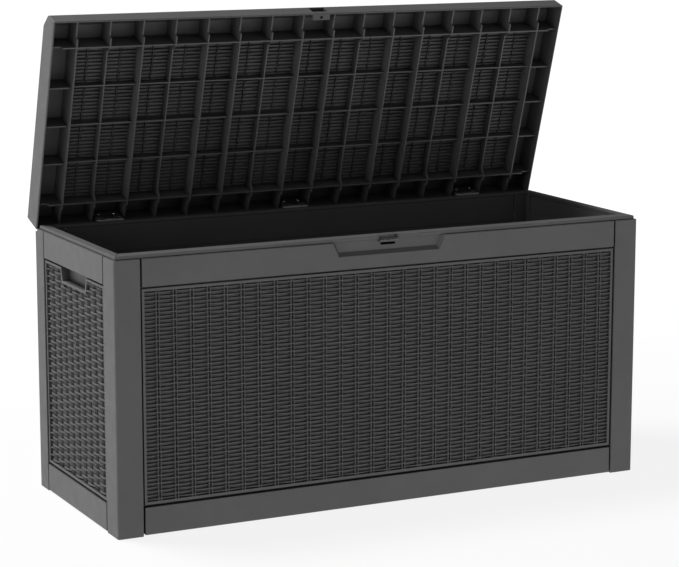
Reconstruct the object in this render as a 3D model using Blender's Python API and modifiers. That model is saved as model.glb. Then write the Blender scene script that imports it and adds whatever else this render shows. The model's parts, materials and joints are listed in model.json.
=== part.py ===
"""Storage bench: a resin storage box with wicker-look walls and a hinged, ribbed lid.

Metres, +Z up. The origin is the centre of the body's footprint on the floor, X runs along the
length, and the front is at -Y. The lid is modelled closed, in its own frame about the hinge axis,
and its pivot empty turns it to the open rest position.
"""
import math

import bmesh
import bpy

# ---------------------------------------------------------------- driving dimensions (metres)
LENGTH = 1.200
DEPTH = 0.458
POST_TOP = 0.557  # top of the posts and the top rails
WALL_DEPTH = 0.037  # thickness of the front and rear walls
WALL_SIDE = 0.023  # thickness of the end walls
GAP = 0.0003  # clearance between pieces that touch
FREE = 0.0005  # clearance between pieces that slot together
SKIN = 0.0030  # wall thickness of the hollow mouldings
RAIL_SKIN = 0.0035
EDGE = 0.0012  # softened edges of the frame
FINE_EDGE = 0.0008
FAR = 1.0  # cutters reach out this far where their length doesn't matter

POST_FACE = 0.0545  # post's width on the front and the rear
POST_SIDE_FRONT = 0.0598  # front posts' width on the ends
POST_SIDE_REAR = 0.0496
POST_ROUND = 0.0045  # radius of the posts' outer corners

RAIL_BOTTOM_Z = (0.0025, 0.0590)
RAIL_TOP_Z = (0.5010, POST_TOP)
LEDGE = 0.006  # how far the bottom rails' floor ledge reaches past the walls
SIDE_GAP = 0.0036  # shadow gap between the posts and a rail or a panel's border

SLAB_Z = (0.0596, 0.5006)  # a panel's slab, from the bottom rail to the top rail
SLAB_GAP = 0.0007  # gap between a panel's slab and its posts
BORDER_Z = (0.0635, 0.4970)  # the raised border round a panel's wicker field
BORDER = 0.0055
BORDER_INSET = 0.0025  # borders lie this far behind the posts' faces
SLAB_INSET = 0.0095
FIELD_INSET = 0.0090

RIM_TOP = 0.5645
RIM_INSET = 0.005  # rim's outer edge behind the posts' faces
RIM_REAR_Y = 0.2135  # rear rim's outer edge, clear of the lid's swing
REBATE_Y = 0.2145  # the body's rear top edge is cut away from here out
REBATE_Z = 0.550

GRIP_CENTRE_Y = 0.006
GRIP_TOP_HALF = 0.0750
GRIP_BOTTOM_HALF = 0.0640
GRIP_Z = 0.4695
GRIP_RIM = 0.005

PULL_DEPTH = 0.009  # finger pull in the front top rail
PULL_Z = 0.5278
PULL_BOTTOM_HALF = 0.1158
PULL_TOP_HALF = 0.130
PULL_SLOPE = 0.008
LUG_HALF = 0.0215  # keeper lug that the lid's padlock tab comes down on
LUG_Z = (0.5520, 0.5550)
SLOT_HALF = 0.017
SLOT_Z = (0.545, 0.550)
LOCK_Y = -0.2225  # padlock hole through the keeper lug and the closed lid's tab
LOCK_R = 0.0035
TAB_ROOM_HALF = 0.023  # the front rim stands back here for the closed lid's tab
TAB_ROOM_Y = -0.2130

FLOOR_TOP = 0.0585  # upper edge of the floor panel's sides
FLOOR_PLATE = 0.004
BEAM_X = (-0.36, 0.0, 0.36)
BEAM_HALF = (0.020, 0.165)

LID_LENGTH = 1.199
LID_DEPTH = 0.4636
LID_HEIGHT = 0.0590
LID_FRONT_HEIGHT = 0.0376  # skirt height at the front, below the chamfer
LID_CHAMFER = 0.0286
LID_LIP_Z = 0.559  # lip of the closed lid
LID_REAR_Y = 0.2318  # rear face of the closed lid
LID_OPEN_DEG = 72.58  # opening at rest
LID_EDGE = 0.0025
FIELD_TOP = 0.041  # lid's wicker field above the lip
FIELD_UNDER = 0.037
FIELD_X = 0.5455
FIELD_V = (0.0525, 0.4045)  # field from the rear face
RIB = 0.0030
RIB_PITCH = 0.0726
RIB_TALL = "TSTSTTSTTSTTSTST"  # ribs along Y, left to right: tall or short
RIB_TALL_N = 0.002
RIB_SHORT_N = 0.016
RIB_NOTCH_N = 0.010  # ribs' edges over the rim
RIB_NOTCH_V = 0.041  # the rim's room, from the lid's front and rear faces
RIB_SLANT = 0.012  # run of a short rib's slant down to the tall ones
CROSS_RIBS = ((0.053, RIB_TALL_N), (0.1430, RIB_SHORT_N), (0.2280, RIB_SHORT_N),
              (0.3133, RIB_SHORT_N), (0.404, RIB_TALL_N))

POCKET_HALF = 0.0175  # padlock pocket in the skirt's front, and the wall behind it
POCKET_N = (0.009, 0.034)
POCKET_DEPTH = 0.0070
BACKING_HALF = 0.0210
BACKING_N = (0.0020, 0.0375)
BACKING_DEPTH = 0.0105
TAB_HALF = 0.0200  # padlock tab under the pocket
TAB_N = (0.0005, 0.0035)
TAB_DEPTH = 0.0155

AXIS_V = 0.008  # hinge axis from the closed lid's rear face
AXIS_N = 0.003  # and above its lip
HINGE_X = (-6 * RIB_PITCH, 0.0, 6 * RIB_PITCH)
HINGE_HALF = 0.030
HINGE_OPENING = 0.0315  # half width of the notches that the hinges sit in
KNUCKLE_R = 0.0045
KNUCKLE_SPLIT = 0.0125  # the lid's knuckle is inside this, the body's are outside
PIN_R = 0.0018
BORE_R = 0.0021
LEAF = 0.002
SCREW_R = 0.0020
SCREW_HOLE_R = 0.0023
SCREW_X = 0.018
SCREW_HEAD_R = 0.0040
PAD_V = 0.0112  # face of the lid's screw pads
PAD_N = (0.009, 0.038)
LEAF_V = PAD_V + GAP  # lid leaf's back, on the pad
LEAF_TOP_N = 0.035
LID_SCREW_N = 0.025
BODY_LEAF_Y = (0.1975, 0.2180)
BODY_LEAF_Z = POST_TOP + GAP
BODY_SCREW_Y = 0.2065

AXIS_Y = LID_REAR_Y - AXIS_V
AXIS_Z = LID_LIP_Z + AXIS_N
FACE_X = LENGTH / 2
FACE_Y = DEPTH / 2
INNER_X = FACE_X - WALL_SIDE
INNER_Y = FACE_Y - WALL_DEPTH
BETWEEN_X = FACE_X - POST_FACE - SIDE_GAP  # front and rear rails and panels end here
BETWEEN_FRONT = -FACE_Y + POST_SIDE_FRONT + SIDE_GAP
BETWEEN_REAR = FACE_Y - POST_SIDE_REAR - SIDE_GAP


# ---------------------------------------------------------------- modelling helpers
def clear_scene():
    for ob in list(bpy.data.objects):
        bpy.data.objects.remove(ob)


def make_collection(name):
    col = bpy.data.collections.new(name)
    bpy.context.scene.collection.children.link(col)
    return col


def make_material(name, colour, roughness, metallic=0.0):
    mat = bpy.data.materials.new(name)
    mat.use_nodes = True
    shader = mat.node_tree.nodes["Principled BSDF"]
    shader.inputs["Base Color"].default_value = (*colour, 1.0)
    shader.inputs["Roughness"].default_value = roughness
    shader.inputs["Metallic"].default_value = metallic
    return mat


def add_object(name, mesh, col, mat=None, parent=None):
    ob = bpy.data.objects.new(name, mesh)
    col.objects.link(ob)
    if mat:
        mesh.materials.append(mat)
    ob.parent = parent
    return ob


def finish_mesh(name, bm):
    bmesh.ops.recalc_face_normals(bm, faces=bm.faces)
    mesh = bpy.data.meshes.new(name)
    bm.to_mesh(mesh)
    bm.free()
    return mesh


def placed(axis, point, along):
    """A 2D outline point and a position along the axis, as a 3D point."""
    a, b = point
    return {"X": (along, a, b), "Y": (a, along, b), "Z": (a, b, along)}[axis]


def prism_mesh(name, axis, outline, low, high):
    """An outline in the plane across the axis, extruded from low to high."""
    bm = bmesh.new()
    face = bm.faces.new([bm.verts.new(placed(axis, p, low)) for p in outline])
    top = bmesh.ops.extrude_face_region(bm, geom=[face])["geom"]
    moved = [v for v in top if isinstance(v, bmesh.types.BMVert)]
    bmesh.ops.translate(bm, verts=moved, vec=placed(axis, (0, 0), high - low))
    return finish_mesh(name, bm)


def box_mesh(name, x, y, z):
    bm = bmesh.new()
    bmesh.ops.create_cube(bm, size=1.0)
    for v in bm.verts:
        v.co = [(lo + hi) / 2 + c * (hi - lo) for c, (lo, hi) in zip(v.co, (x, y, z))]
    return finish_mesh(name, bm)


def cylinder_mesh(name, axis, centre, low, high, radius, segments=32):
    """A cylinder along the axis, its centre given in the plane across it."""
    ring = [(centre[0] + radius * math.cos(2 * math.pi * i / segments),
             centre[1] + radius * math.sin(2 * math.pi * i / segments)) for i in range(segments)]
    return prism_mesh(name, axis, ring, low, high)


def rounded(outline, corner, radius, steps=6):
    """The outline with one right-angled corner replaced by an arc."""
    count = len(outline)
    here = outline[corner]
    before = outline[corner - 1]
    after = outline[(corner + 1) % count]
    to_before = [(b - h) / math.dist(before, here) for b, h in zip(before, here)]
    to_after = [(a - h) / math.dist(after, here) for a, h in zip(after, here)]
    centre = [h + radius * (p + q) for h, p, q in zip(here, to_before, to_after)]
    arc = []
    for i in range(steps + 1):
        turn = math.pi / 2 * i / steps
        arc.append(tuple(c - radius * (q * math.cos(turn) + p * math.sin(turn))
                         for c, p, q in zip(centre, to_before, to_after)))
    return outline[:corner] + arc + outline[corner + 1:]


def mirrored(outline, flip_a, flip_b):
    return [(-a if flip_a else a, -b if flip_b else b) for a, b in outline]


def soften(ob, width, segments=2):
    mod = ob.modifiers.new("Bevel", "BEVEL")
    mod.width = width
    mod.segments = segments
    mod.limit_method = "ANGLE"
    mod.angle_limit = math.radians(35)


def boolean(ob, other, operation):
    mod = ob.modifiers.new(operation.title(), "BOOLEAN")
    mod.operation = operation
    mod.solver = "EXACT"
    mod.object = other


class Bench:
    """The collections and materials that every piece is made with."""

    def __init__(self):
        self.parts = make_collection("storage_bench")
        self.tools = make_collection("cutters")
        self.frame_resin = make_material("frame_resin", (0.085, 0.087, 0.090), 0.55)
        self.panel_resin = make_material("panel_resin", (0.075, 0.077, 0.080), 0.60)
        self.lid_resin = make_material("lid_resin", (0.060, 0.061, 0.063), 0.55)
        self.steel = make_material("steel", (0.55, 0.55, 0.56), 0.35, 1.0)
        self.count = 0

    def part(self, name, mesh, mat, parent=None):
        return add_object(name, mesh, self.parts, mat, parent)

    def tool(self, mesh, parent=None):
        self.count += 1
        ob = add_object(f"tool_{self.count:03d}", mesh, self.tools, None, parent)
        ob.hide_render = True
        ob.display_type = "WIRE"
        return ob

    def cut(self, ob, mesh):
        boolean(ob, self.tool(mesh, ob.parent), "DIFFERENCE")

    def add(self, ob, mesh):
        boolean(ob, self.tool(mesh, ob.parent), "UNION")


# ---------------------------------------------------------------- frame: posts and rails
def post_outline(side_width, inset):
    """Plan of the post at +X, +Y: an L whose legs are as thick as the walls."""
    out_x = FACE_X - inset
    out_y = FACE_Y - inset
    end_x = FACE_X - POST_FACE + inset
    end_y = FACE_Y - side_width + inset
    leg_x = INNER_X + inset
    leg_y = INNER_Y + inset
    outline = [(out_x, out_y), (end_x, out_y), (end_x, leg_y), (leg_x, leg_y), (leg_x, end_y),
               (out_x, end_y)]
    return rounded(outline, 0, POST_ROUND - inset)


def make_posts(bench):
    for end in ("left", "right"):
        for side in ("front", "rear"):
            flip = (end == "left", side == "front")
            width = POST_SIDE_FRONT if side == "front" else POST_SIDE_REAR
            outline = mirrored(post_outline(width, 0.0), *flip)
            hollow = mirrored(post_outline(width, SKIN), *flip)
            roof = REBATE_Z if side == "rear" else POST_TOP
            name = f"post_{side}_{end}"
            post = bench.part(name, prism_mesh(name, "Z", outline, 0.0, POST_TOP), bench.frame_resin)
            soften(post, EDGE)
            bench.cut(post, prism_mesh("hollow", "Z", hollow, -FAR, roof - SKIN))
            if side == "rear":
                cut_rear_rebate(bench, post)


def cut_rear_rebate(bench, ob):
    """The rear top edge is stepped down, so that the lid's lip can swing past it."""
    bench.cut(ob, box_mesh("rebate", (-FAR, FAR), (REBATE_Y, FAR), (REBATE_Z, FAR)))


def make_front_top_rail(bench):
    name = "rail_top_front"
    mesh = box_mesh(name, (-BETWEEN_X, BETWEEN_X), (-FACE_Y, -INNER_Y), RAIL_TOP_Z)
    rail = bench.part(name, mesh, bench.frame_resin)
    soften(rail, EDGE)
    front = -FACE_Y + RAIL_SKIN
    behind_pull = front + PULL_DEPTH
    half = PULL_TOP_HALF + 0.001
    hollow = [(-FAR, front), (-half - PULL_DEPTH, front), (-half, behind_pull), (half, behind_pull),
              (half + PULL_DEPTH, front), (FAR, front), (FAR, -INNER_Y - RAIL_SKIN),
              (-FAR, -INNER_Y - RAIL_SKIN)]
    bench.cut(rail, prism_mesh("hollow", "Z", hollow, 0.0, POST_TOP - RAIL_SKIN))
    bench.cut(rail, pull_cutter())
    make_keeper(bench, rail)


def pull_cutter():
    """The finger pull: a trapezoid, open at the top, whose sides and bottom slope inwards."""
    proud = 0.002
    lean = (PULL_TOP_HALF - PULL_BOTTOM_HALF) / (POST_TOP - PULL_Z)
    mesh = box_mesh("pull", (-1, 1), (-1, 1), (-1, 1))
    for v in mesh.vertices:
        outer = v.co.y < 0
        inwards = -PULL_SLOPE * proud / PULL_DEPTH if outer else PULL_SLOPE
        v.co.y = -FACE_Y - proud if outer else -FACE_Y + PULL_DEPTH
        v.co.z = POST_TOP + 0.02 if v.co.z > 0 else PULL_Z + inwards
        v.co.x = math.copysign(PULL_BOTTOM_HALF + lean * (v.co.z - PULL_Z) - inwards, v.co.x)
    return mesh


def make_keeper(bench, rail):
    """The lug that the lid's padlock tab comes down on, with its hole, and the slot under it."""
    back = -FACE_Y + PULL_DEPTH
    lug_y = (-FACE_Y + 0.0005, back + 0.001)
    bench.add(rail, box_mesh("lug", (-LUG_HALF, LUG_HALF), lug_y, LUG_Z))
    bench.cut(rail, cylinder_mesh("hole", "Z", (0, LOCK_Y), SLOT_Z[1], FAR, LOCK_R, 24))
    slot_y = (back - SKIN, back + 0.01)
    bench.cut(rail, box_mesh("slot", (-SLOT_HALF, SLOT_HALF), slot_y, SLOT_Z))


def make_rear_top_rail(bench):
    """A channel, open below, whose section steps down under the lid's swing."""
    low = RAIL_TOP_Z[0]
    out = FACE_Y
    section = [(INNER_Y, low), (INNER_Y, POST_TOP), (REBATE_Y, POST_TOP), (REBATE_Y, REBATE_Z),
               (out, REBATE_Z), (out, low), (out - RAIL_SKIN, low),
               (out - RAIL_SKIN, REBATE_Z - RAIL_SKIN), (REBATE_Y - RAIL_SKIN, REBATE_Z - RAIL_SKIN),
               (REBATE_Y - RAIL_SKIN, POST_TOP - RAIL_SKIN), (INNER_Y + RAIL_SKIN, POST_TOP - RAIL_SKIN),
               (INNER_Y + RAIL_SKIN, low)]
    name = "rail_top_rear"
    rail = bench.part(name, prism_mesh(name, "X", section, -BETWEEN_X, BETWEEN_X), bench.frame_resin)
    soften(rail, FINE_EDGE)
    for x in HINGE_X:
        for side in (-1, 1):
            centre = (x + side * SCREW_X, BODY_SCREW_Y)
            bench.cut(rail, cylinder_mesh("hole", "Z", centre, low, FAR, SCREW_HOLE_R, 16))


def channel_down(face, inner):
    """Section of a rail that is open below: its outer face, its roof and its inner face."""
    step = math.copysign(RAIL_SKIN, inner - face)
    low, high = RAIL_TOP_Z
    return [(face, low), (face, high), (inner, high), (inner, low), (inner - step, low),
            (inner - step, high - RAIL_SKIN), (face + step, high - RAIL_SKIN), (face + step, low)]


def channel_in(face, inner):
    """Section of a bottom rail: an outer face, a top flange, and a longer ledge for the floor."""
    step = math.copysign(RAIL_SKIN, inner - face)
    ledge = inner + math.copysign(LEDGE, inner - face)
    low, high = RAIL_BOTTOM_Z
    return [(face, low), (face, high), (inner, high), (inner, high - RAIL_SKIN),
            (face + step, high - RAIL_SKIN), (face + step, low + RAIL_SKIN),
            (ledge, low + RAIL_SKIN), (ledge, low)]


def make_plain_rails(bench):
    ends_y = (BETWEEN_FRONT, BETWEEN_REAR)
    ends_x = (-BETWEEN_X, BETWEEN_X)
    rails = [
        ("rail_top_left", "Y", channel_down(-FACE_X, -INNER_X), ends_y),
        ("rail_top_right", "Y", channel_down(FACE_X, INNER_X), ends_y),
        ("rail_bottom_left", "Y", channel_in(-FACE_X, -INNER_X), ends_y),
        ("rail_bottom_right", "Y", channel_in(FACE_X, INNER_X), ends_y),
        ("rail_bottom_front", "X", channel_in(-FACE_Y, -INNER_Y), ends_x),
        ("rail_bottom_rear", "X", channel_in(FACE_Y, INNER_Y), ends_x),
    ]
    for name, axis, section, (low, high) in rails:
        rail = bench.part(name, prism_mesh(name, axis, section, low, high), bench.frame_resin)
        soften(rail, EDGE)


# ---------------------------------------------------------------- wall panels, rim and floor
def make_long_panels(bench):
    """Front and rear walls: hollow slabs, open below, with a raised border round a sunk field."""
    end = FACE_X - POST_FACE - SLAB_GAP
    for side, sign in (("front", -1), ("rear", 1)):
        border = sign * (FACE_Y - BORDER_INSET)
        slab = sign * (FACE_Y - SLAB_INSET)
        field = sign * (FACE_Y - FIELD_INSET)
        inner = sign * (INNER_Y + FREE)
        name = f"panel_{side}"
        mesh = box_mesh(name, (-end, end), sorted((slab, inner)), SLAB_Z)
        panel = bench.part(name, mesh, bench.panel_resin)
        border_y = sorted((border, slab - sign * SKIN))
        bench.add(panel, box_mesh("border", (-BETWEEN_X, BETWEEN_X), border_y, BORDER_Z))
        hollow_x = (SKIN - end, end - SKIN)
        hollow_y = sorted((field - sign * SKIN, inner + sign * SKIN))
        bench.cut(panel, box_mesh("hollow", hollow_x, hollow_y, (0.0, SLAB_Z[1] - SKIN)))
        field_x = (BORDER - BETWEEN_X, BETWEEN_X - BORDER)
        field_z = (BORDER_Z[0] + BORDER, BORDER_Z[1] - BORDER)
        bench.cut(panel, box_mesh("field", field_x, sorted((field, sign * FAR)), field_z))


def grip_half(z):
    """The grip narrows evenly from the slab's top edge down to its floor."""
    share = (z - GRIP_Z) / (SLAB_Z[1] - GRIP_Z)
    return GRIP_BOTTOM_HALF + share * (GRIP_TOP_HALF - GRIP_BOTTOM_HALF)


def grip_outline(ends, bottom, top, grow):
    """A band of the end panel from bottom to top, notched round the grip at its top edge."""
    wide = grip_half(top) + grow
    narrow = GRIP_BOTTOM_HALF + grow
    floor = GRIP_Z - grow
    return [(ends[0], bottom), (ends[1], bottom), (ends[1], top), (GRIP_CENTRE_Y + wide, top),
            (GRIP_CENTRE_Y + narrow, floor), (GRIP_CENTRE_Y - narrow, floor),
            (GRIP_CENTRE_Y - wide, top), (ends[0], top)]


def grip_cutter(outer, back):
    """The trapezoid of the finger grip, open at the slab's top edge."""
    top = SLAB_Z[1] + 0.002
    wide = grip_half(top)
    outline = [(GRIP_CENTRE_Y - wide, top), (GRIP_CENTRE_Y + wide, top),
               (GRIP_CENTRE_Y + GRIP_BOTTOM_HALF, GRIP_Z), (GRIP_CENTRE_Y - GRIP_BOTTOM_HALF, GRIP_Z)]
    return prism_mesh("grip", "X", outline, *sorted((outer, back)))


def make_end_panels(bench):
    """Left and right walls: as the long ones, with a finger grip open at the top edge."""
    slab_y = (BETWEEN_FRONT - SIDE_GAP + SLAB_GAP, BETWEEN_REAR + SIDE_GAP - SLAB_GAP)
    for end, sign in (("left", -1), ("right", 1)):
        border = sign * (FACE_X - BORDER_INSET)
        slab = sign * (FACE_X - SLAB_INSET)
        field = sign * (FACE_X - FIELD_INSET)
        inner = sign * (INNER_X + FREE)
        back = inner + sign * SKIN
        name = f"panel_{end}"
        mesh = box_mesh(name, sorted((slab, inner)), slab_y, SLAB_Z)
        panel = bench.part(name, mesh, bench.panel_resin)
        border_x = sorted((border, slab - sign * SKIN))
        bench.add(panel, box_mesh("border", border_x, (BETWEEN_FRONT, BETWEEN_REAR), BORDER_Z))
        hollow_ends = (slab_y[0] + SKIN, slab_y[1] - SKIN)
        hollow = grip_outline(hollow_ends, 0.0, SLAB_Z[1] - SKIN, SKIN)
        hollow_x = sorted((field - sign * SKIN, back))
        bench.cut(panel, prism_mesh("hollow", "X", hollow, *hollow_x))
        bench.cut(panel, grip_cutter(sign * FAR, back))
        field_ends = (BETWEEN_FRONT + BORDER, BETWEEN_REAR - BORDER)
        wicker = grip_outline(field_ends, BORDER_Z[0] + BORDER, BORDER_Z[1] - BORDER, GRIP_RIM)
        bench.cut(panel, prism_mesh("field", "X", wicker, *sorted((sign * FAR, field))))


def make_rim(bench):
    """Four mitred strips on top of the rails, the raised lip that the lid closes over."""
    out_x = FACE_X - RIM_INSET
    front = -FACE_Y + RIM_INSET
    rear = RIM_REAR_Y
    play = 0.0004
    low = POST_TOP + GAP
    plans = {
        "rim_front": [(-out_x, front), (out_x, front), (INNER_X, -INNER_Y), (-INNER_X, -INNER_Y)],
        "rim_rear": [(-out_x, rear), (-INNER_X, INNER_Y), (INNER_X, INNER_Y), (out_x, rear)],
        "rim_left": [(-out_x, front + play), (-INNER_X, -INNER_Y + play), (-INNER_X, INNER_Y - play),
                     (-out_x, rear - play)],
        "rim_right": [(out_x, front + play), (out_x, rear - play), (INNER_X, INNER_Y - play),
                      (INNER_X, -INNER_Y + play)],
    }
    above = (RAIL_TOP_Z[0], FAR)
    for name, plan in plans.items():
        rim = bench.part(name, prism_mesh(name, "Z", plan, low, RIM_TOP), bench.frame_resin)
        soften(rim, EDGE)
        if name == "rim_front":
            bench.cut(rim, box_mesh("tab_room", (-TAB_ROOM_HALF, TAB_ROOM_HALF), (-FAR, TAB_ROOM_Y), above))
        if name == "rim_rear":
            for x in HINGE_X:
                room_x = (x - HINGE_OPENING, x + HINGE_OPENING)
                room_y = (BODY_LEAF_Y[0] - 0.001, FAR)
                bench.cut(rim, box_mesh("hinge_room", room_x, room_y, above))


def make_floor(bench):
    """A tray on the bottom rails' ledges, with three beams under it that rest on the floor."""
    base = RAIL_BOTTOM_Z[0] + RAIL_SKIN + FREE
    half_x = INNER_X - FREE
    half_y = INNER_Y - FREE
    name = "floor_panel"
    mesh = box_mesh(name, (-half_x, half_x), (-half_y, half_y), (base, FLOOR_TOP))
    floor = bench.part(name, mesh, bench.frame_resin)
    tray_x = (SKIN - half_x, half_x - SKIN)
    tray_y = (SKIN - half_y, half_y - SKIN)
    bench.cut(floor, box_mesh("tray", tray_x, tray_y, (base + FLOOR_PLATE, FAR)))
    for x in BEAM_X:
        beam_x = (x - BEAM_HALF[0], x + BEAM_HALF[0])
        beam_y = (-BEAM_HALF[1], BEAM_HALF[1])
        bench.add(floor, box_mesh("beam", beam_x, beam_y, (0.0, base + 0.001)))


# ---------------------------------------------------------------- lid
def lid_point(v, n):
    """Distance from the lid's rear face and height above its lip, as Y and Z about the axis."""
    return (AXIS_V - v, n - AXIS_N)


def lid_box(name, x, v, n):
    y = sorted(AXIS_V - value for value in v)
    z = [value - AXIS_N for value in n]
    return box_mesh(name, x, y, z)


def lid_section(inset, low):
    """The lid's side view: upright rear, flat top, a chamfer over the lower front skirt."""
    lean = inset * 0.46
    outline = [(inset, low), (LID_DEPTH - inset, low), (LID_DEPTH - inset, LID_FRONT_HEIGHT - lean),
               (LID_DEPTH - LID_CHAMFER - lean, LID_HEIGHT - inset), (inset, LID_HEIGHT - inset)]
    return [lid_point(*p) for p in outline]


def rib_section(tall):
    """Side view of a rib along Y: notched over the rim, its upper edge buried in the skin."""
    bury = RIB / 2
    front = LID_DEPTH - bury
    near = FIELD_V[0] + 0.004
    far = FIELD_V[1] - 0.004
    if tall:
        middle = []
    else:
        middle = [(near, RIB_TALL_N), (near + RIB_SLANT, RIB_SHORT_N), (far - RIB_SLANT, RIB_SHORT_N),
                  (far, RIB_TALL_N)]
    lower = [(bury, RIB_NOTCH_N), (RIB_NOTCH_V - RIB, RIB_NOTCH_N), (RIB_NOTCH_V, RIB_TALL_N)]
    lower += middle
    lower += [(LID_DEPTH - RIB_NOTCH_V, RIB_TALL_N), (LID_DEPTH - RIB_NOTCH_V + RIB, RIB_NOTCH_N),
              (front, RIB_NOTCH_N)]
    under_ring = LID_HEIGHT - bury
    under_field = (FIELD_TOP + FIELD_UNDER) / 2
    upper = [(front, LID_FRONT_HEIGHT - 0.0007), (LID_DEPTH - LID_CHAMFER - 0.0007, under_ring),
             (FIELD_V[1] - bury, under_ring), (FIELD_V[1] - bury, under_field),
             (FIELD_V[0] + bury, under_field), (FIELD_V[0] + bury, under_ring), (bury, under_ring)]
    return [lid_point(*p) for p in lower + upper]


def cross_rib_section(edge_n):
    """Front view of a rib along X: notched over the rim at both ends."""
    bury = RIB / 2
    end = LID_LENGTH / 2 - bury
    notch = FACE_X - INNER_X + 0.0025
    under_ring = LID_HEIGHT - bury
    under_field = (FIELD_TOP + FIELD_UNDER) / 2
    half = [(FIELD_X - bury, under_field), (FIELD_X - bury, under_ring), (end, under_ring),
            (end, RIB_NOTCH_N + 0.0004), (LID_LENGTH / 2 - notch + 0.003, RIB_NOTCH_N + 0.0004),
            (LID_LENGTH / 2 - notch, max(edge_n, RIB_TALL_N) + 0.0004)]
    if edge_n > RIB_NOTCH_N:
        half[-2:] = [(FIELD_X + 0.004, RIB_NOTCH_N + 0.0004), (FIELD_X - 0.006, edge_n + 0.0004)]
    other = [(-x, n) for x, n in reversed(half)]
    return [(x, n - AXIS_N) for x, n in half + other]


def rib_positions():
    count = len(RIB_TALL)
    return [((i - (count - 1) / 2) * RIB_PITCH, kind == "T") for i, kind in enumerate(RIB_TALL)]


def make_lid(bench, pivot):
    half = LID_LENGTH / 2
    lid = bench.part("lid", prism_mesh("lid", "X", lid_section(0.0, 0.0), -half, half),
                     bench.lid_resin, pivot)
    soften(lid, LID_EDGE, 3)
    field_x = FIELD_X - SKIN
    field_v = (FIELD_V[0] + SKIN, FIELD_V[1] - SKIN)
    bench.cut(lid, lid_box("field", (-field_x, field_x), field_v, (FIELD_TOP, FAR)))
    inside = half - SKIN
    hollow = bench.tool(prism_mesh("hollow", "X", lid_section(SKIN, -0.01), -inside, inside), pivot)
    keep = bench.tool(lid_box("keep", (-FIELD_X, FIELD_X), FIELD_V, (FIELD_UNDER, FAR)), pivot)
    boolean(hollow, keep, "DIFFERENCE")
    boolean(lid, hollow, "DIFFERENCE")
    for x, tall in rib_positions():
        bench.add(lid, prism_mesh("rib", "X", rib_section(tall), x - RIB / 2, x + RIB / 2))
    for v, edge_n in CROSS_RIBS:
        y = AXIS_V - v
        bench.add(lid, prism_mesh("rib", "Y", cross_rib_section(edge_n), y - RIB / 2, y + RIB / 2))
    make_lid_hinge_seats(bench, lid)
    make_lid_tab(bench, lid)
    return lid


def make_lid_hinge_seats(bench, lid):
    """At each hinge a pad takes the screws, and the skirt's edge is cut away for the knuckles."""
    for x in HINGE_X:
        pad_x = (x - HINGE_HALF, x + HINGE_HALF)
        bench.add(lid, lid_box("pad", pad_x, (SKIN / 2, PAD_V), PAD_N))
        room_x = (x - HINGE_OPENING, x + HINGE_OPENING)
        bench.cut(lid, lid_box("room", room_x, (-0.01, 0.016), (-0.01, PAD_N[0])))
        for side in (-1, 1):
            centre = (x + side * SCREW_X, LID_SCREW_N - AXIS_N)
            hole = cylinder_mesh("hole", "Y", centre, AXIS_V - 0.02, AXIS_V - 0.0020, SCREW_HOLE_R, 16)
            bench.cut(lid, hole)


def make_lid_tab(bench, lid):
    """Front centre: a pocket in the skirt's face, and the padlock tab with its hole inside it."""
    front = LID_DEPTH
    sunk = front - SKIN / 2
    backing_v = (front - BACKING_DEPTH, sunk)
    bench.add(lid, lid_box("backing", (-BACKING_HALF, BACKING_HALF), backing_v, BACKING_N))
    pocket_v = (front - POCKET_DEPTH, FAR)
    bench.cut(lid, lid_box("pocket", (-POCKET_HALF, POCKET_HALF), pocket_v, POCKET_N))
    bench.add(lid, lid_box("tab", (-TAB_HALF, TAB_HALF), (front - TAB_DEPTH, sunk), TAB_N))
    centre = (0, LOCK_Y - AXIS_Y)
    over_tab = (TAB_N[1] + POCKET_N[0]) / 2 - AXIS_N
    bench.cut(lid, cylinder_mesh("hole", "Z", centre, -0.01, over_tab, LOCK_R, 24))


# ---------------------------------------------------------------- hinges
def body_leaf(bench, index, x):
    """The leaf on the rear top rail: a plate and the two outer knuckles."""
    name = f"hinge_body_leaf_{index}"
    plate_z = (BODY_LEAF_Z, BODY_LEAF_Z + LEAF)
    mesh = box_mesh(name, (x - HINGE_HALF, x + HINGE_HALF), BODY_LEAF_Y, plate_z)
    leaf = bench.part(name, mesh, bench.steel)
    for side in (-1, 1):
        span = sorted((x + side * KNUCKLE_SPLIT, x + side * HINGE_HALF))
        bench.add(leaf, box_mesh("foot", span, (BODY_LEAF_Y[1] - 0.001, AXIS_Y), plate_z))
        bench.add(leaf, cylinder_mesh("knuckle", "X", (AXIS_Y, AXIS_Z), *span, KNUCKLE_R, 24))
    bench.cut(leaf, cylinder_mesh("bore", "X", (AXIS_Y, AXIS_Z), -FAR, FAR, BORE_R, 24))
    for side in (-1, 1):
        centre = (x + side * SCREW_X, BODY_SCREW_Y)
        bench.cut(leaf, cylinder_mesh("hole", "Z", centre, POST_TOP, FAR, SCREW_HOLE_R, 16))


def lid_leaf(bench, index, x, pivot):
    """The leaf on the lid's pad: a plate and the middle knuckle, about the hinge axis."""
    name = f"hinge_lid_leaf_{index}"
    plate_v = (LEAF_V, LEAF_V + LEAF)
    clear_n = AXIS_N + KNUCKLE_R + 0.0008
    half = HINGE_HALF - 0.001
    mesh = lid_box(name, (x - half, x + half), plate_v, (clear_n, LEAF_TOP_N))
    leaf = bench.part(name, mesh, bench.steel, pivot)
    middle = KNUCKLE_SPLIT - 0.0005
    bench.add(leaf, lid_box("neck", (x - middle, x + middle), plate_v, (AXIS_N - 0.001, clear_n + 0.001)))
    bench.add(leaf, cylinder_mesh("knuckle", "X", (0, 0), x - middle, x + middle, KNUCKLE_R, 24))
    bench.cut(leaf, cylinder_mesh("bore", "X", (0, 0), -FAR, FAR, BORE_R, 24))
    for side in (-1, 1):
        centre = (x + side * SCREW_X, LID_SCREW_N - AXIS_N)
        hole = cylinder_mesh("hole", "Y", centre, -0.03, 0.0, SCREW_HOLE_R, 16)
        bench.cut(leaf, hole)


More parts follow.
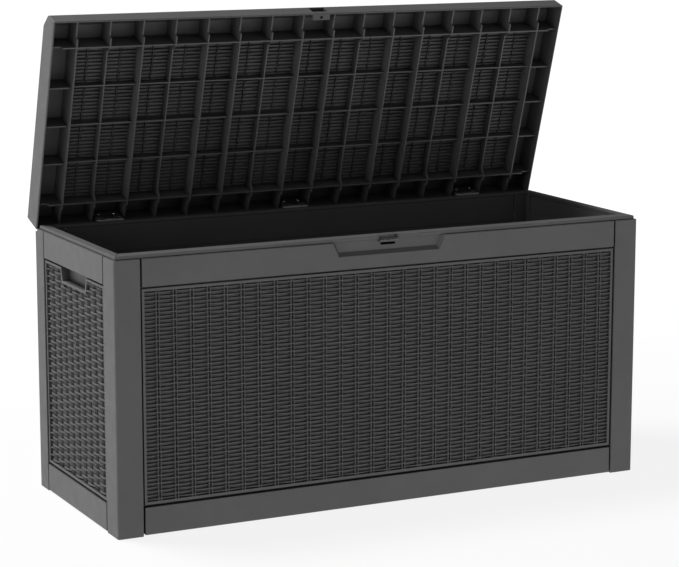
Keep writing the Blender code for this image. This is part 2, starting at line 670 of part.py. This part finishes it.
def turned(bench, name, profile, mat, parent, location, rotation, steps=20):
    """A turned piece from its profile: points of radius and height, outer side downwards."""
    mesh = bpy.data.meshes.new(name)
    points = [(r, 0.0, h) for r, h in profile]
    edges = [(i, i + 1) for i in range(len(points) - 1)]
    mesh.from_pydata(points, edges, [])
    ob = bench.part(name, mesh, mat, parent)
    ob.location = location
    ob.rotation_euler = rotation
    screw = ob.modifiers.new("Screw", "SCREW")
    screw.axis = "Z"
    screw.angle = math.tau
    screw.steps = steps
    screw.render_steps = steps
    screw.use_merge_vertices = True
    screw.merge_threshold = 0.00001
    screw.use_smooth_shade = False
    return ob


def make_screw(bench, name, parent, location, rotation):
    """A pan-head screw, its origin under the head."""
    head = SCREW_HEAD_R
    profile = [(0.0, 0.0020), (head * 0.55, 0.0018), (head * 0.9, 0.0010), (head, 0.0), (SCREW_R, 0.0),
               (SCREW_R, -0.0095), (SCREW_R * 0.3, -0.0112), (0.0, -0.0112)]
    turned(bench, name, profile, bench.steel, parent, location, rotation, 12)


def make_pin(bench, name, x):
    """The hinge pin: a headed rod through the three knuckles."""
    reach = HINGE_HALF + 0.0008
    profile = [(0.0, reach + 0.0014), (0.0030, reach + 0.0012), (0.0034, reach - GAP - 0.0001),
               (PIN_R, reach - GAP - 0.0001), (PIN_R, -reach), (PIN_R * 0.6, -reach - 0.0006),
               (0.0, -reach - 0.0006)]
    turned(bench, name, profile, bench.steel, None, (x, AXIS_Y, AXIS_Z), (0, math.pi / 2, 0), 24)


def make_hinges(bench, pivot):
    head_z = BODY_LEAF_Z + LEAF + GAP
    head_y = AXIS_V - (LEAF_V + LEAF + GAP)
    for index, x in enumerate(HINGE_X, start=1):
        body_leaf(bench, index, x)
        lid_leaf(bench, index, x, pivot)
        make_pin(bench, f"hinge_pin_{index}", x)
        for side, letter in ((-1, "a"), (1, "b")):
            at_x = x + side * SCREW_X
            make_screw(bench, f"body_screw_{index}{letter}", None, (at_x, BODY_SCREW_Y, head_z), (0, 0, 0))
            make_screw(bench, f"lid_screw_{index}{letter}", pivot, (at_x, head_y, LID_SCREW_N - AXIS_N),
                       (math.pi / 2, 0, 0))


def build():
    clear_scene()
    bench = Bench()
    pivot = bpy.data.objects.new("lid_pivot", None)
    bench.parts.objects.link(pivot)
    pivot.location = (0, AXIS_Y, AXIS_Z)
    pivot.rotation_euler = (-math.radians(LID_OPEN_DEG), 0, 0)
    make_posts(bench)
    make_front_top_rail(bench)
    make_rear_top_rail(bench)
    make_plain_rails(bench)
    make_long_panels(bench)
    make_end_panels(bench)
    make_rim(bench)
    make_floor(bench)
    make_lid(bench, pivot)
    make_hinges(bench, pivot)


build()
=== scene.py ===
"""The storage bench's looks: woven relief, matte resin, plated hinges, floor, light and camera."""
import json
import math
from collections import namedtuple

import bpy
import numpy as np
from mathutils import Matrix, Vector


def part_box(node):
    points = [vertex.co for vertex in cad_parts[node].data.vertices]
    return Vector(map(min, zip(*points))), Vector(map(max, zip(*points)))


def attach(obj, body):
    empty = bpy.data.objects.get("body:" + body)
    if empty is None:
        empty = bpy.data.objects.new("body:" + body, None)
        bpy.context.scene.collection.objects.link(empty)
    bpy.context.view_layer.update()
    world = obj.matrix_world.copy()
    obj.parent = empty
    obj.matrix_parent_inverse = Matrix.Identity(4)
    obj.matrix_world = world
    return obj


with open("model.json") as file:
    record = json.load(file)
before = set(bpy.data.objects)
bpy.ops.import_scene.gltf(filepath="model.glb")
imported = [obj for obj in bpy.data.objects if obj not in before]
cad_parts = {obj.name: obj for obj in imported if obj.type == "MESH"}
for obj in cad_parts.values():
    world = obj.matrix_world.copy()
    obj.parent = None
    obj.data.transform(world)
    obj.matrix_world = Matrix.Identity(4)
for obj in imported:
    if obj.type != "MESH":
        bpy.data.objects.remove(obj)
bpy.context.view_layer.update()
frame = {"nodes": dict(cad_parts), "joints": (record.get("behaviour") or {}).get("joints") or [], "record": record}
nodes = frame["nodes"]
hinge = frame["joints"][0]

# ---------------------------------------------------------------- the weave's sizes (metres)
# high, low: how far a strand stands out over a stake, and where it passes behind the next one.
# half, thick: a strand's half width, and its height over its own middle line. rods: where a stake's
# rods stand beside its middle. gap: strands stop this far short of every stake, or None where they
# run on over it or behind it.
Weave = namedtuple("Weave", "stake_pitch strand_pitch high low half thick rods rod_half rod_height gap")
ROD_PAIR = (-0.0029, 0.0029)
FRONT_WEAVE = Weave(0.03635, 0.0079, 0.0066, 0.0034, 0.0024, 0.0056, ROD_PAIR, 0.0018, 0.0067, None)
END_WEAVE = Weave(0.0347, 0.0080, 0.0071, 0.0004, 0.0023, 0.0052, ROD_PAIR, 0.0014, 0.0036, None)
LID_WEAVE = FRONT_WEAVE._replace(strand_pitch=0.0080)
UNDER_WEAVE = Weave(0.03635, 0.0080, 0.0066, 0.0038, 0.0026, 0.0058, (0.0,), 0.0011, 0.0060, 0.0026)
STEPS_PER_BAY = 8  # rings along a strand from one stake to the next
ARCH_POINTS = 6  # points round a strand's or a rod's rounded face
STAKE_ROOM = 0.0054  # no stake stands nearer than this to the weave's ends
FOOT = 0.0008  # the relief's feet are sunk this far into the field
NOTCH_STEP = 0.001  # a stake under a notch is shortened by this much at a time
SHARP_ANGLE = math.radians(55)  # edges of the relief that are sharper than this aren't smoothed


# ---------------------------------------------------------------- materials
COLOUR_A, COLOUR_B, COLOUR_OUT = 6, 7, 2  # a Mix node's sockets for colour
NOISE_MIDDLE = (0.3, 0.7)  # the values of a noise texture that a ramp spreads out


def new_material(name):
    """A material with nothing but a Principled shader on its output."""
    mat = bpy.data.materials.new(name)
    mat.use_nodes = True
    nodes_, links = mat.node_tree.nodes, mat.node_tree.links
    nodes_.clear()
    out = nodes_.new("ShaderNodeOutputMaterial")
    shader = nodes_.new("ShaderNodeBsdfPrincipled")
    links.new(shader.outputs["BSDF"], out.inputs["Surface"])
    return mat, nodes_, links, shader


def noise(nodes_, links, vector, scale, detail, rough):
    node = nodes_.new("ShaderNodeTexNoise")
    node.inputs["Scale"].default_value = scale
    node.inputs["Detail"].default_value = detail
    node.inputs["Roughness"].default_value = rough
    links.new(vector, node.inputs["Vector"])
    return node.outputs["Fac"]


def ramp(nodes_, links, source, low, high, start=NOISE_MIDDLE[0], end=NOISE_MIDDLE[1]):
    """low where source is start or less, high where it is end or more, and even in between."""
    node = nodes_.new("ShaderNodeMapRange")
    node.inputs["From Min"].default_value = start
    node.inputs["From Max"].default_value = end
    node.inputs["To Min"].default_value = low
    node.inputs["To Max"].default_value = high
    links.new(source, node.inputs["Value"])
    return node.outputs["Result"]


def clouded(nodes_, links, source, colour, low, high):
    """The colour times low to high, as the source goes from one end of its middle to the other."""
    mix = nodes_.new("ShaderNodeMix")
    mix.data_type = "RGBA"
    links.new(ramp(nodes_, links, source, 0.0, 1.0), mix.inputs["Factor"])
    mix.inputs[COLOUR_A].default_value = (*[c * low for c in colour], 1.0)
    mix.inputs[COLOUR_B].default_value = (*[c * high for c in colour], 1.0)
    return mix.outputs[COLOUR_OUT]


def multiplied(nodes_, links, colour, share):
    mix = nodes_.new("ShaderNodeMix")
    mix.data_type = "RGBA"
    mix.blend_type = "MULTIPLY"
    mix.inputs["Factor"].default_value = 1.0
    links.new(colour, mix.inputs[COLOUR_A])
    links.new(share, mix.inputs[COLOUR_B])
    return mix.outputs[COLOUR_OUT]


def add_bump(nodes_, links, shader, height, strength, depth):
    bump = nodes_.new("ShaderNodeBump")
    bump.inputs["Strength"].default_value = strength
    bump.inputs["Distance"].default_value = depth
    links.new(height, bump.inputs["Height"])
    links.new(bump.outputs["Normal"], shader.inputs["Normal"])


# A noise is its scale, detail and roughness. A tint is the colour's shares at its two ends.
CLOUDS = (5.0, 3.0, 0.55)
CLOUD_TINT = (0.93, 1.07)
GRAIN = (900.0, 2.0, 0.55)
GRAIN_TINT = (0.9, 1.1)
GRAIN_STRENGTH = 0.06
GRAIN_DEPTH = 0.0004
MARKS = (38.0, 6.0, 0.7)
MARK_ROUGHNESS = (-0.05, 0.06)  # how far handling marks change the roughness
# Painted shade: the constants below darken the resin's colour in recesses, where shade falls.
# The resin's colour is darkened where other faces stand close by, to come near the photo's black
# recesses. It fits the picture, and isn't a change of pigment seen on the object.
RECESS_REACH = 0.05  # how near a face counts
RECESS_SAMPLES = 4
RECESS_SHADE_TONE = 0.2  # the share of the colour that is left in a deep recess
RECESS_OPEN = (0.12, 0.64)  # how open a place is where only that share is left, and where all is


def resin(name, colour, roughness):
    """Matte moulded resin: a fine spark-eroded grain, faint flow clouds, handling marks, and painted shade in its
    recesses.
    """
    mat, nodes_, links, shader = new_material(name)
    place = nodes_.new("ShaderNodeTexCoord").outputs["Object"]
    clouds = noise(nodes_, links, place, *CLOUDS)
    grain = noise(nodes_, links, place, *GRAIN)
    marks = noise(nodes_, links, place, *MARKS)
    # Painted shade: an occlusion node darkens the colour where other faces stand close by.
    recess = nodes_.new("ShaderNodeAmbientOcclusion")
    recess.samples = RECESS_SAMPLES
    recess.inputs["Distance"].default_value = RECESS_REACH
    tint = clouded(nodes_, links, clouds, colour, *CLOUD_TINT)
    tint = multiplied(nodes_, links, tint, ramp(nodes_, links, grain, *GRAIN_TINT))
    shade = ramp(nodes_, links, recess.outputs["AO"], RECESS_SHADE_TONE, 1.0, *RECESS_OPEN)
    links.new(multiplied(nodes_, links, tint, shade), shader.inputs["Base Color"])
    links.new(ramp(nodes_, links, marks, *[roughness + change for change in MARK_ROUGHNESS]),
              shader.inputs["Roughness"])
    add_bump(nodes_, links, shader, grain, GRAIN_STRENGTH, GRAIN_DEPTH)
    return mat


BRUSH_STRETCH = (40.0, 1500.0, 1500.0)  # long along X, fine across it
BRUSHING = (1.0, 2.0, 0.5)
BRUSH_ROUGHNESS = (-0.08, 0.12)  # how far the brushing changes the roughness
BRUSH_STRENGTH = 0.1
BRUSH_DEPTH = 0.0002
TARNISH = (90.0, 4.0, 0.55)
TARNISH_TINT = (0.75, 1.0)


def plated_steel(name, colour, roughness):
    """Dull zinc plate: fine brushing along X and cloudy tarnish."""
    mat, nodes_, links, shader = new_material(name)
    shader.inputs["Metallic"].default_value = 1.0
    place = nodes_.new("ShaderNodeTexCoord").outputs["Object"]
    stretch = nodes_.new("ShaderNodeMapping")
    stretch.inputs["Scale"].default_value = BRUSH_STRETCH
    links.new(place, stretch.inputs["Vector"])
    brushed = noise(nodes_, links, stretch.outputs["Vector"], *BRUSHING)
    tarnish = noise(nodes_, links, place, *TARNISH)
    links.new(clouded(nodes_, links, tarnish, colour, *TARNISH_TINT), shader.inputs["Base Color"])
    links.new(ramp(nodes_, links, brushed, *[roughness + change for change in BRUSH_ROUGHNESS]),
              shader.inputs["Roughness"])
    add_bump(nodes_, links, shader, brushed, BRUSH_STRENGTH, BRUSH_DEPTH)
    return mat


MATERIALS = {  # for each slot: its look's name, colour and roughness
    "frame_resin": resin("frame_resin_look", (0.0855, 0.0855, 0.0855), 0.55),
    "panel_resin": resin("panel_resin_look", (0.0855, 0.0855, 0.0855), 0.58),
    "lid_resin": resin("lid_resin_look", (0.0765, 0.0765, 0.0765), 0.52),
    "hinge_steel": plated_steel("hinge_steel_look", (0.42, 0.42, 0.43), 0.38),
}


def dress_nodes():
    """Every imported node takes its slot's material."""
    for entry in frame["record"]["subparts"]:
        mesh = nodes[entry["node"]].data
        mesh.materials.clear()
        mesh.materials.append(MATERIALS[entry["material_slot"]])


# ---------------------------------------------------------------- woven relief
# The relief is made in a flat frame: a along the strands, b up the rows, h out of the face.
A_AXIS, B_AXIS, H_AXIS = 0, 1, 2


class Relief:
    """Collects closed bars in the flat frame."""

    def __init__(self):
        self.points = []
        self.faces = []
        self.count = 0

    def bar(self, path, section):
        """path: (n, 3) centres; section: (n, k, 3) offsets. Closed ends."""
        rings, sides = section.shape[:2]
        points = path[:, None, :] + section
        index = self.count + np.arange(rings * sides).reshape(rings, sides)
        here, there = index[:-1], index[1:]
        quads = np.stack([here, there, np.roll(there, -1, 1), np.roll(here, -1, 1)], -1)
        self.faces.extend(quads.reshape(-1, 4).tolist())
        self.faces.append(index[0].tolist())
        self.faces.append(index[-1][::-1].tolist())
        self.points.append(points.reshape(-1, 3))
        self.count += rings * sides

    def mesh(self, name, place):
        """place turns (n, 3) points in the flat frame into row-frame points."""
        mesh = bpy.data.meshes.new(name)
        mesh.from_pydata(place(np.concatenate(self.points)).tolist(), [], self.faces)
        mesh.update()
        return mesh


HALF_TURN = np.linspace(0.0, math.pi, ARCH_POINTS)


def arch(half, height, depth, across):
    """Half-ellipse sections with sunk feet. half, height, depth: per ring. across: the flat axis."""
    section = np.zeros((len(half), ARCH_POINTS, 3))
    section[:, :, across] = half[:, None] * np.cos(HALF_TURN)
    section[:, :, H_AXIS] = height[:, None] * np.sin(HALF_TURN)
    section[:, 0, H_AXIS] = -depth
    section[:, -1, H_AXIS] = -depth
    if across == B_AXIS:
        return section
    return section[:, ::-1, :]  # turned round, so that the faces still look outwards


def strand_pieces(style, start, end):
    """The stretches of a strand: one, or one from each stake it stops short of to the next."""
    if style.gap is None:
        return [(start, end)]
    edges = [start]
    for stake in stake_places(style, start + style.gap, end - style.gap):
        edges += [stake - style.gap, stake + style.gap]
    edges.append(end)
    return list(zip(edges[::2], edges[1::2]))


def weave_strand(relief, style, start, end, row_b, row):
    """One strand from a = start to end, over even stakes on even rows and odd ones on odd rows."""
    steps = max(2, round((end - start) / style.stake_pitch * STEPS_PER_BAY))
    a = np.linspace(start, end, steps + 1)
    phase = np.cos(math.pi * (a / style.stake_pitch + row))
    path = np.zeros((len(a), 3))
    path[:, A_AXIS] = a
    path[:, B_AXIS] = row_b
    path[:, H_AXIS] = (style.high + style.low) / 2 + (style.high - style.low) / 2 * phase - style.thick
    depth = np.maximum(path[:, H_AXIS], 0.0) + FOOT
    every = np.ones(len(a))
    relief.bar(path, arch(style.half * every, style.thick * every, depth, B_AXIS))


def weave_stake(relief, style, a, low, high):
    """A stake: one upright rod, or two side by side."""
    ends = np.ones(2)
    for beside in style.rods:
        path = np.array([[a + beside, low, 0.0], [a + beside, high, 0.0]])
        relief.bar(path, arch(style.rod_half * ends, style.rod_height * ends, FOOT * ends, A_AXIS))


def stake_places(style, low, high):
    first = math.ceil(low / style.stake_pitch)
    last = math.floor(high / style.stake_pitch)
    return [i * style.stake_pitch for i in range(first, last + 1)]


def stake_top(a, b_high, notch):
    """The top of the stake at a: the weave's top, or the underside of the notch above it."""
    top = b_high
    while notch:
        free = notch(top - NOTCH_STEP)
        if free is None or not free[0] < a < free[1]:
            break
        top -= NOTCH_STEP
    return top


def weave(relief, style, a_range, b_range, notch=None):
    """Fills a rectangle with the weave; notch(b) gives the stretch left free in a row, or None."""
    a_low, a_high = a_range
    b_low, b_high = b_range
    rows = round((b_high - b_low) / style.strand_pitch)
    pitch = (b_high - b_low) / rows
    for row in range(rows):
        b = b_low + (row + 0.5) * pitch
        free = notch(b) if notch else None
        spans = [(a_low, free[0]), (free[1], a_high)] if free else [(a_low, a_high)]
        for span in spans:
            for start, end in strand_pieces(style, *span):
                weave_strand(relief, style, start, end, b, row)
    for a in stake_places(style, a_low + STAKE_ROOM, a_high - STAKE_ROOM):
        weave_stake(relief, style, a, b_low, stake_top(a, b_high, notch))


def make_piece(name, relief, place, slot, body):
    mesh = relief.mesh(name, place)
    mesh.shade_smooth()
    mesh.set_sharp_from_angle(angle=SHARP_ANGLE)
    piece = bpy.data.objects.new(name, mesh)
    bpy.context.scene.collection.objects.link(piece)
    mesh.materials.append(MATERIALS[slot])
    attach(piece, body)


# ---------------------------------------------------------------- where the relief goes
BORDER_Z = (0.0635, 0.4970)  # the walls' raised border, bottom and top
BORDER = 0.0055  # its width
BORDER_BACK = 0.0029  # the border ends this far inside the slab's ends
FIELD_INSET = 0.0065  # the field behind the border's face
BURY = 0.0008  # strands run this far into the border
FIELD_Z = (BORDER_Z[0] + BORDER, BORDER_Z[1] - BORDER)

GRIP_CENTRE = 0.006  # the finger grip's middle, along Y
GRIP_TOP_HALF = 0.0750  # half the width it takes at the border's top
GRIP_BOTTOM_HALF = 0.0640  # and at its lower edge
GRIP_LOW = 0.4695  # its lower edge
GRIP_RIM = 0.005  # the raised border round it
GRIP_NEAR = 0.001  # a row this close under the rim is cut too


def grip_notch(b):
    """The stretch of a row that the finger grip and its border take, or None below them."""
    top = BORDER_Z[1]
    if b < GRIP_LOW - GRIP_RIM - GRIP_NEAR:
        return None
    share = min(1.0, max(0.0, (b - GRIP_LOW) / (top - GRIP_LOW)))
    half = GRIP_BOTTOM_HALF + share * (GRIP_TOP_HALF - GRIP_BOTTOM_HALF) + GRIP_RIM - BURY
    return GRIP_CENTRE - half, GRIP_CENTRE + half


def long_wall(side, sign):
    """Front or rear: a runs along X, b up, h out of the wall."""
    low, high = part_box(f"panel_{side}")
    face = low.y if sign < 0 else high.y
    field = face - sign * FIELD_INSET
    end = high.x - BORDER_BACK - BORDER + BURY
    relief = Relief()
    weave(relief, FRONT_WEAVE, (-end, end), FIELD_Z)

    def place(points):
        a, b, h = points.T
        return np.stack([-sign * a, field + sign * h, b], 1)
    make_piece(f"weave_{side}", relief, place, "panel_resin", "bench")


def end_wall(side, sign):
    """Left or right: a runs along Y, b up, h out of the wall."""
    low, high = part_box(f"panel_{side}")
    face = low.x if sign < 0 else high.x
    field = face - sign * FIELD_INSET
    middle = (low.y + high.y) / 2
    end = (high.y - low.y) / 2 - BORDER_BACK - BORDER + BURY

    def notch(b):
        free = grip_notch(b)
        return (free[0] - middle, free[1] - middle) if free else None
    relief = Relief()
    weave(relief, END_WEAVE, (-end, end), FIELD_Z, notch)

    def place(points):
        a, b, h = points.T
        return np.stack([field + sign * h, a + middle, b], 1)
    make_piece(f"weave_{side}", relief, place, "panel_resin", "bench")


# The lid's own frame: v from its rear face towards its front, n from its lip towards its top.
LID_FIELD_X = 0.5425  # the woven field's half length
LID_FIELD_V = (0.0555, 0.4015)  # its rear and front ends
LID_FIELD_TOP = 0.041  # its level on the lid's top and inside
LID_FIELD_UNDER = 0.037
AXIS_V = 0.008  # the hinge's axis in that frame
AXIS_N = 0.003
OPEN = -math.radians(hinge["range_deg"][0])  # how far the lid is open at rest


def lid_places(v, n, x):
    """Points in the lid's frame and along X, as row-frame points."""
    y = AXIS_V - v
    z = n - AXIS_N
    axis = hinge["pos_m"]
    return np.stack([x, axis[1] + y * math.cos(OPEN) + z * math.sin(OPEN),
                     axis[2] - y * math.sin(OPEN) + z * math.cos(OPEN)], 1)


def lid_field(name, style, level, sign):
    """The weave on the lid's field at n = level, on its top (sign 1) or its underside (-1)."""
    relief = Relief()
    weave(relief, style, (-LID_FIELD_X, LID_FIELD_X), LID_FIELD_V)

    def place(points):
        a, b, h = points.T
        return lid_places(b, level + sign * h, a * sign)
    make_piece(name, relief, place, "lid_resin", "lid")


def make_relief():
    long_wall("front", -1)
    long_wall("rear", 1)
    end_wall("left", -1)
    end_wall("right", 1)
    lid_field("weave_lid_top", LID_WEAVE, LID_FIELD_TOP, 1)
    lid_field("weave_lid_under", UNDER_WEAVE, LID_FIELD_UNDER, -1)


# ---------------------------------------------------------------- floor
FLOOR_REACH = 30.0  # from its middle to each edge
FLOOR_COLOUR = (0.09, 0.09, 0.09, 1.0)
FLOOR_ROUGHNESS = 0.9
FLOOR_GLOW_AND_SHADE = (0.865, 1.0)  # the paper's glow by the bench, dimmed there as painted shade, and far from it
FLOOR_SHADE_REACH = (0.9, 4.0)  # up to how far from the bench's middle, and from how far on
WHITE = (1.0, 1.0, 1.0, 1.0)


def make_floor():
    """Paper that is white by its own glow, so that lamps and shadows show only faintly on it. Near the bench the
    glow is dimmer, as painted shade.
    The world's light from below passes through it."""
    mesh = bpy.data.meshes.new("studio_floor")
    reach = FLOOR_REACH
    mesh.from_pydata([(-reach, -reach, 0), (reach, -reach, 0), (reach, reach, 0), (-reach, reach, 0)],
                     [], [(0, 1, 2, 3)])
    floor = bpy.data.objects.new("studio_floor", mesh)
    bpy.context.scene.collection.objects.link(floor)
    mat, nodes_, links, shader = new_material("floor_paper")
    shader.inputs["Base Color"].default_value = FLOOR_COLOUR
    shader.inputs["Roughness"].default_value = FLOOR_ROUGHNESS
    shader.inputs["Emission Color"].default_value = WHITE
    # Painted shade: the glow is dimmer near the bench's middle and rises to full further away.
    away = nodes_.new("ShaderNodeVectorMath")
    away.operation = "LENGTH"
    links.new(nodes_.new("ShaderNodeTexCoord").outputs["Object"], away.inputs[0])
    links.new(ramp(nodes_, links, away.outputs["Value"], *FLOOR_GLOW_AND_SHADE, *FLOOR_SHADE_REACH),
              shader.inputs["Emission Strength"])
    mesh.materials.append(mat)
    floor.visible_diffuse = False
    floor.visible_glossy = False
    floor.visible_shadow = False


# ---------------------------------------------------------------- light
BOUNCE = 1.69  # the world's strength just below the horizon, for the light the floor throws up
BOUNCE_END = -1.15  # how steeply down it would reach nothing; straight down is -1
SKY = 0.08  # the share of it that is left above the horizon
HORIZON = 0.03  # the height over which it falls to that share
LIGHTS = (  # name, place, size, power
    ("key", (-2.475, 2.475, 6.462), 2.4, 500),
    ("side", (-6.696, -1.794, 1.374), 2.4, 58),
)
LIGHT_AIM = (0.0, 0.0, 0.4)


def area_light(name, at, size, power):
    light = bpy.data.lights.new(name, "AREA")
    light.size = size
    light.energy = power
    ob = bpy.data.objects.new(name, light)
    ob.location = at
    ob.rotation_euler = (Vector(LIGHT_AIM) - Vector(at)).to_track_quat("-Z", "Y").to_euler()
    bpy.context.scene.collection.objects.link(ob)


def make_light():
    """The floor's light from below, a faint sky, a high lamp behind on the left, a low one on the left."""
    world = bpy.data.worlds.new("studio")
    world.use_nodes = True
    nodes_, links = world.node_tree.nodes, world.node_tree.links
    back = nodes_["Background"]
    back.inputs["Color"].default_value = WHITE
    split = nodes_.new("ShaderNodeSeparateXYZ")
    links.new(nodes_.new("ShaderNodeTexCoord").outputs["Generated"], split.inputs["Vector"])
    height = split.outputs["Z"]
    level = nodes_.new("ShaderNodeMath")
    level.operation = "MULTIPLY"
    links.new(ramp(nodes_, links, height, 0.0, BOUNCE, BOUNCE_END, 0.0), level.inputs[0])
    links.new(ramp(nodes_, links, height, 1.0, SKY, 0.0, HORIZON), level.inputs[1])
    links.new(level.outputs[0], back.inputs["Strength"])
    bpy.context.scene.world = world
    bpy.context.scene.view_settings.view_transform = "Standard"
    for lamp in LIGHTS:
        area_light(*lamp)


# ---------------------------------------------------------------- camera
# The photograph's viewpoint and framing.
CAMERA_AT = (-2.17026, -4.35528, 1.32096)
CAMERA_AZIMUTH = math.radians(26.481)
CAMERA_DIP = math.radians(10.4082)
CAMERA_ROLL = math.radians(0.035)
LENS = 122.971
SENSOR_WIDTH = 36.0
CLIP_END = 200.0


def make_camera():
    data = bpy.data.cameras.new("camera")
    data.lens = LENS
    data.sensor_width = SENSOR_WIDTH
    data.clip_end = CLIP_END
    camera = bpy.data.objects.new("camera", data)
    bpy.context.scene.collection.objects.link(camera)
    az, dip = CAMERA_AZIMUTH, CAMERA_DIP
    forward = Vector((math.sin(az) * math.cos(dip), math.cos(az) * math.cos(dip), -math.sin(dip)))
    right = Vector((math.cos(az), -math.sin(az), 0.0))
    up = right.cross(forward)
    turn = Matrix((right, up, -forward)).transposed().to_4x4()
    camera.matrix_world = Matrix.Translation(CAMERA_AT) @ turn @ Matrix.Rotation(CAMERA_ROLL, 4, "Z")
    bpy.context.scene.camera = camera


dress_nodes()
make_relief()
make_floor()
make_light()
make_camera()
